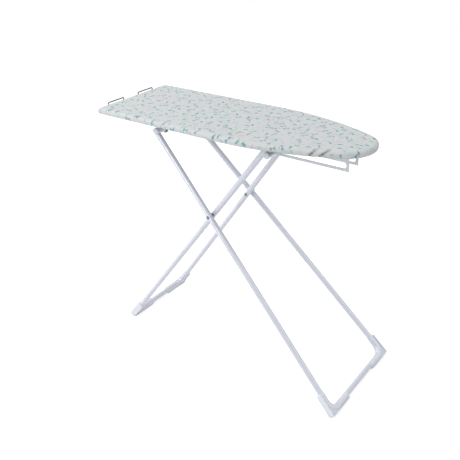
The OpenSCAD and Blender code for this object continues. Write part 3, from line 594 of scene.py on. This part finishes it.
def uneven(x, y):
    # the pad's soft humps: crossed waves that sway, and smaller slanting ones over them
    (ahead, aheadSway, aheadRate), (side, sideSway, sideRate) = cover["along"], cover["across"]
    (slantX, slantY), (crossY, crossX) = cover["slant"], cover["cross"]
    return (np.sin(x * ahead + aheadSway * np.sin(y * aheadRate))
            * np.sin(y * side + sideSway * np.sin(x * sideRate))
            + cover["small"] * np.sin(x * slantX + y * slantY) * np.sin(y * crossY + x * crossX))


def stacked(xy, z):
    return np.concatenate([xy, z[..., None]], -1)


# hem: from the inner edge to where the padded edge curls up
folds = gathers(run, bend)
share = np.linspace(0, 1, hem["rows"])[:-1, None]
hemXY = innerEdge + (hemEnd - innerEdge) * share[..., None]
hemZ = (coverLow[2] + hem["lift"] + folds * gather["deep"] * (1 - hem["flatten"] * share)
        + hem["rise"] * (1 - share))
hemCloth = 2 * halfTall + cover["curlBelow"] * hem["curlCloth"] + hem["width"] * (1 - share)
hemUV = edge + outward * hemCloth[..., None]

# padded edge
turn = np.linspace(-pi / 2, pi / 2, cover["edgeRows"])[:, None]
edgeXY, edgeZ = curl(turn)
lowPart = np.clip(gather["upTo"] - np.sin(turn), 0, 1 + gather["upTo"]) / (1 + gather["upTo"])
edgeRise = np.repeat((1 + np.sin(turn)) * halfTall, count, 1)
sink, edgeShade = tuckShape(np.repeat(edge[None], len(turn), 0), edgeRise)
swell = folds * lowPart ** 2 * gather["deep"] * gather["onEdge"] - sink
edgeXY = edgeXY + outward * swell[..., None]
edgeUV = edge + outward * (2 * halfTall - edgeRise)[..., None]

# top: on to the ridge line
share = np.linspace(0, 1, cover["topRows"] + 1)[1:, None] ** cover["topSpread"]
topXY = topStart + (middle - topStart) * share[..., None]
humps = 0.5 + 0.5 * uneven(topXY[..., 0], topXY[..., 1])
topZ = coverHigh[2] - cover["softness"] * humps * np.clip(share * cover["settle"], 0, 1)

# painted shade on the cloth: the tucks' folds, and a dull, darker line along the lower edge
dull = ((dullLine["base"] + waves(run, dullLine["waves"]))
        * np.clip(dullLine["fade"] - edgeRise / dullLine["tall"], 0, 1))
edgeShadeAndLowEdge = np.clip(edgeShade + dullLine["strength"] * dull, 0, 1)

grid = np.concatenate([stacked(hemXY, hemZ), stacked(edgeXY, edgeZ), stacked(topXY, topZ)])
uv = np.concatenate([hemUV, edgeUV, topXY])
soil = np.concatenate([np.zeros(hemZ.shape), edgeShadeAndLowEdge, np.zeros(topZ.shape)])
coverCloth = gridMesh("coverCloth", grid, uv, soil, poles=(len(grid) - 1,))
thick = coverCloth.modifiers.new("cloth", "SOLIDIFY")
thick.thickness = cover["cloth"]
thick.offset = -1.0
dress(coverCloth, "cover_cloth", "board", "cover")


def loopArea(points):
    # area inside a closed line, from the cross products of neighbouring points
    ahead = np.roll(points, -1, 0)
    return abs(float((points[:, 0] * ahead[:, 1] - points[:, 1] * ahead[:, 0]).sum())) / 2


cut = edge + outward * (2 * halfTall + hem["width"])
cutSize = cut.max(0) - cut.min(0)
loopArea(cut)
print("cover made")


foam = {"topRows": 10, "curlRows": 9, "curlFrom": 0.02, "fill": 0.9,
        "gap": 0.0013,                      # from the outside of the cover
        "panelInset": 0.0047, "panelCorner": 0.018, "seat": 0.0002, "lift": 0.0001,
        "wrap": 0.0034,                     # how far it stands out from the panel below
        "lip": 0.0004, "roundIn": 0.0012, "roundUp": 0.0015,
        "give": 1.5}                        # how much further than the cloth it sinks at a tuck


def sunken(points, z):
    # the foam gives way under the tucks as the cloth does
    sink, _ = tuckShape(points[None], (z - coverLow[2]) * np.ones((1, count)))
    return points - outward * foam["give"] * sink[0][:, None]


def foamRows():
    # a closed form: over the panel to its edge, down and round below it, up inside the cover's
    # edge, and over the top to the ridge line
    panelLow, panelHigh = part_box("board_panel")
    panelEdge, panelOut, _ = boardEdge(foam["panelInset"], foam["panelCorner"], count)
    foamMiddle = ridge(panelEdge)
    share = np.linspace(1, 0, foam["topRows"])
    below = [(foam["seat"], panelLow[2] + foam["lip"]),
             (foam["wrap"] - foam["roundIn"], panelLow[2]),
             (foam["wrap"], panelLow[2] + foam["roundUp"])]
    rows = [(panelEdge + foam["seat"] * panelOut + (foamMiddle - panelEdge) * part,
             panelHigh[2] + foam["lift"]) for part in share]
    rows += [(sunken(panelEdge + out * panelOut, z), z) for out, z in below]
    turns = np.linspace(foam["curlFrom"], pi / 2, foam["curlRows"])
    rows += [(sunken(place, up), up) for place, up in zip(*curl(turns, foam["gap"]))]
    rows += [(topStart + (middle - topStart) * part, coverHigh[2] - foam["gap"])
             for part in share[::-1][1:]]
    return np.array([np.column_stack([xy, np.broadcast_to(z, count)]) for xy, z in rows])


rows = foamRows()
foamPad = gridMesh("foamPad", rows, poles=(0, len(rows) - 1))
dress(foamPad, "foam", "board", "foam_pad")
print("foam pad made")


casing = {"wide": 0.0034, "tall": 0.0013, "sides": 14, "inset": 0.0305, "corner": 0.036,
          "lift": 0.0003, "pullLength": 0.0062, "wander": ((1.4, 41.0, 0.0),),
          "pullWide": 0.16, "pullTall": 0.22}

seam = {"inset": 0.0225, "corner": 0.026, "steps": 4000, "drop": 0.0004,
        "stitch": 0.0036, "gap": 0.0014, "thread": 0.00035, "sides": 6,
        "along": (0.0, 0.15, 0.5, 0.85, 1.0), "swell": (0.05, 0.8, 1.0, 0.8, 0.05)}


def casingGrid():
    # The hem's inner edge rolled round its elastic: an ellipse carried round the board, drawn
    # in and let out by the gathers.
    line, out, _ = boardEdge(casing["inset"], casing["corner"], count * 2)
    along = distances(line)[:-1]
    pulls = np.sin(2 * pi * along / casing["pullLength"] + waves(along, casing["wander"]))
    turn = np.linspace(0, 2 * pi, casing["sides"], endpoint=False)[:, None]
    wide = casing["wide"] * (1 + casing["pullWide"] * pulls)
    tall = casing["tall"] * (1 + casing["pullTall"] * pulls)
    xy = line + out * (wide * np.cos(turn))[..., None]
    return stacked(xy, coverLow[2] - casing["tall"] + casing["lift"] + tall * np.sin(turn))


dress(gridMesh("hemCasing", casingGrid(), closedRows=True), "hem_cord", "board", "hem_cord")


def spindles(starts, ends, radius, sides):
    # Short threads: each is a tube of three rings and two tips between its ends, all worked
    # out at once as an array of threads x rings x sides.
    way = ends - starts
    forward = way / np.linalg.norm(way, axis=1)[:, None]
    side = np.cross(forward, np.array([0.0, 0.0, 1.0]))
    side /= np.linalg.norm(side, axis=1)[:, None]
    up = np.cross(side, forward)
    along = np.array(seam["along"])
    swell = np.array(seam["swell"]) * radius
    turn = np.arange(sides) * 2 * pi / sides
    ring = (side[:, None, None] * np.cos(turn)[None, None, :, None]
            + up[:, None, None] * np.sin(turn)[None, None, :, None]) * swell[None, :, None, None]
    points = starts[:, None, None] + way[:, None, None] * along[None, :, None, None] + ring
    index = np.arange(len(starts) * len(along) * sides).reshape(len(starts), len(along), sides)
    low, high = index[:, :-1], index[:, 1:]
    quads = np.stack([low, np.roll(low, -1, 2), np.roll(high, -1, 2), high], -1).reshape(-1, 4)
    caps = np.concatenate([index[:, 0, ::-1], index[:, -1]])
    return points.reshape(-1, 3), quads.tolist() + caps.tolist()


def stitchRow():
    # as many whole stitches as the seam's line holds, at an even pitch
    line, _, _ = boardEdge(seam["inset"], seam["corner"], seam["steps"])
    along = distances(line)
    number = int(along[-1] / (seam["stitch"] + seam["gap"]))
    begin = np.arange(number) * along[-1] / number
    line = np.concatenate([line, line[:1]])

    def at(place):
        return np.column_stack([np.interp(place, along, line[:, 0]),
                                np.interp(place, along, line[:, 1]),
                                np.full(number, coverLow[2] - seam["drop"])])

    return spindles(at(begin), at(begin + seam["stitch"]), seam["thread"], seam["sides"])


verts, faces = stitchRow()
mesh = bpy.data.meshes.new("hemStitches")
mesh.from_pydata(verts.tolist(), [], faces)
dress(addObject("hemStitches", mesh), "hem_cord", "board")
print("hem made")


def wireTube(name, path, radius, reference, sides=10):
    # Round wire: a circle carried along a path. Its two directions come from the path's tangent
    # and a reference direction that the path never takes; a point closes each end.
    ahead = np.gradient(path, axis=0)
    ahead /= np.linalg.norm(ahead, axis=1)[:, None]
    second = np.cross(np.array(reference), ahead)
    second /= np.linalg.norm(second, axis=1)[:, None]
    first = np.cross(ahead, second)
    turn = np.arange(sides)[None, :, None] * 2 * pi / sides
    aside = first[:, None] * np.cos(turn) + second[:, None] * np.sin(turn)
    rings = path[:, None] + radius * aside
    caps = np.repeat(path[[0, -1]][:, None], sides, 1)
    return gridMesh(name, np.concatenate([caps[:1], rings, caps[1:]]), poles=(0, len(path) + 1))


spring = {"wire": 0.0007, "turns": 5, "steps": 30, "sides": 8,
          "keep": 0.72}             # share of its height that is left when the lever is pulled
springLow, springHigh = (np.array(corner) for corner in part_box("lever_spring"))
springMiddle = (springLow + springHigh) / 2


def springPath():
    # a circle that rises evenly between the arm and the sheet
    turn = np.linspace(0, 2 * pi * spring["turns"], spring["steps"] * spring["turns"] + 1)
    radius = (springHigh[0] - springLow[0]) / 2 - spring["wire"]
    tall = springHigh[2] - springLow[2] - 2 * spring["wire"]
    return np.column_stack([springMiddle[0] + radius * np.cos(turn),
                            springMiddle[1] + radius * np.sin(turn),
                            springLow[2] + spring["wire"] + tall * turn / turn[-1]])


returnSpring = wireTube("returnSpring", springPath(), spring["wire"], (0.0, 0.0, 1.0),
                        spring["sides"])
dress(returnSpring, "spring_steel", "board", "lever_spring")
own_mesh(returnSpring)


# wire loops at the tail: out = beyond the cover, up = above it, middle = of each loop's top from
# the board's middle, wide = half of that top
loops = {"wire": 0.002, "out": 0.0085, "up": 0.0, "wide": 0.038, "middle": 0.0725,
         "bend": 0.006, "bendSteps": 9, "reference": (0.7, 0.0, 0.7)}


def loopPath(node):
    # the wire comes from its clamp under the board, rises past the tail, leaning outwards, and
    # crosses over; each corner is a quadratic curve between points one bend away from it
    low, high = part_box(node)
    low, high = np.array(low) + loops["wire"], np.array(high) - loops["wire"]
    x, top = coverLow[0] - loops["out"], coverHigh[2] + loops["up"]
    side = np.sign(low[1] + high[1]) * loops["middle"]
    corners = np.array([(high[0], low[1], low[2]), (x, low[1], low[2]),
                        (x, side - loops["wide"], top), (x, side + loops["wide"], top),
                        (x, high[1], low[2]), (high[0], high[1], low[2])])
    step = np.linspace(0, 1, loops["bendSteps"])[:, None]
    parts = [corners[:1]]
    for before, corner, after in zip(corners, corners[1:], corners[2:]):
        start = corner + (before - corner) * loops["bend"] / np.linalg.norm(before - corner)
        stop = corner + (after - corner) * loops["bend"] / np.linalg.norm(after - corner)
        parts.append((1 - step) ** 2 * start + 2 * step * (1 - step) * corner + step ** 2 * stop)
    return np.concatenate(parts + [corners[-1:]])


for name, node in (("restLoopNear", "iron_rest_near"), ("restLoopFar", "iron_rest_far")):
    loop = wireTube(name, loopPath(node), loops["wire"], loops["reference"])
    dress(loop, "rest_wire", "board", node)
print("spring and loops made")


studio = {"floorHalf": 6, "floorZ": -0.0005,
          "floorGrey": 0.62, "floorGlow": 0.62,     # lit grey, and what the camera sees added
          "ambient": 0.62, "glossy": 0.6, "fromLeft": 0.4, "fromAbove": 0.25}


def seenRays(start, glossyShare):
    # 1 for what the camera sees straight or through glass, and a share in reflections
    rays = start.node("LightPath", output="Is Camera Ray")
    glossy, through = rays.other("Is Glossy Ray"), rays.other("Is Transmission Ray")
    return (rays + glossy * glossyShare + through).held()


def floorSurface():
    # white where the camera looks, with the part's shadow kept
    material = bpy.data.materials.new("paleFloor")
    material.use_nodes = True
    tree = material.node_tree
    tree.nodes.remove(tree.nodes["Principled BSDF"])
    start = Flow(tree)
    plain = start.node("BsdfDiffuse", {}, {"Color": (studio["floorGrey"],) * 3 + (1.0,)})
    glow = start.node("Emission", {}, {"Color": (1.0, 1.0, 1.0, 1.0),
                                       "Strength": seenRays(start, 1.0) * studio["floorGlow"]})
    both = start.node("AddShader", {}, {0: plain, 1: glow})
    tree.links.new(both.socket, tree.nodes["Material Output"].inputs["Surface"])
    return material


def makeFloor():
    half = studio["floorHalf"]
    mesh = bpy.data.meshes.new("floor")
    mesh.from_pydata([(-half, -half, 0), (half, -half, 0), (half, half, 0), (-half, half, 0)],
                     [], [(0, 1, 2, 3)])
    mesh.materials.append(floorSurface())
    floor = addObject("floor", mesh)
    floor.location.z = studio["floorZ"]


def skyLight():
    # soft light on the part, brighter from the left and above, and plain white behind it
    world = bpy.data.worlds.new("studio")
    world.use_nodes = True
    tree = world.node_tree
    start = Flow(tree)
    seen = seenRays(start, studio["glossy"])
    facing = start.node("TexCoord", output="Generated").axes()
    lit = 1 - facing * studio["fromLeft"] + facing.other(2) * studio["fromAbove"]
    strength = seen + (1 - seen) * lit * studio["ambient"]
    tree.links.new(strength.socket, tree.nodes["Background"].inputs["Strength"])
    tree.nodes["Background"].inputs["Color"].default_value = (1.0, 1.0, 1.0, 1.0)
    bpy.context.scene.world = world


lamps = {"front": {"at": (-0.6, -3.2, 2.2), "towards": (0, 0, 0.5), "size": 2.0, "power": 38},
         "left": {"at": (-3.0, -1.2, 2.4), "towards": (0, 0, 0.6), "size": 1.0, "power": 40},
         "right": {"at": (3.0, 0.6, 2.2), "towards": (0, 0, 0.6), "size": 2.0, "power": 18}}


def placeLamps():
    for name, lamp in lamps.items():
        light = bpy.data.lights.new(name, "AREA")
        light.size = lamp["size"]
        light.energy = lamp["power"]
        holder = addObject(name, light)
        holder.location = lamp["at"]
        away = Vector(lamp["at"]) - Vector(lamp["towards"])
        holder.rotation_euler = away.to_track_quat("Z", "Y").to_euler()


view = {"at": (1.22342, -1.56816, 1.55564), "yaw": -0.6216, "pitch": 0.4785, "roll": -0.0255,
        "lens": 50.170, "sensor": 36.0, "shift": (-0.0773, -0.0336)}


def placeCamera():
    # yaw turns from +Y, pitch looks down, roll turns about the line of sight
    yaw, pitch, roll = view["yaw"], view["pitch"], view["roll"]
    ahead = Vector((cos(pitch) * sin(yaw), cos(pitch) * cos(yaw), -sin(pitch)))
    right = Vector((cos(yaw), -sin(yaw), 0.0))
    up = right.cross(ahead)
    turnedRight = right * cos(roll) + up * sin(roll)
    turnedUp = up * cos(roll) - right * sin(roll)
    camera = addObject("camera", bpy.data.cameras.new("camera"))
    camera.data.lens = view["lens"]
    camera.data.sensor_width = view["sensor"]
    camera.data.shift_x, camera.data.shift_y = view["shift"]
    place = Matrix((turnedRight, turnedUp, -ahead)).transposed().to_4x4()
    place.translation = Vector(view["at"])
    camera.matrix_world = place
    bpy.context.scene.camera = camera


makeFloor()
placeLamps()
skyLight()
placeCamera()
bpy.context.scene.view_settings.view_transform = "Standard"
print("stage set")
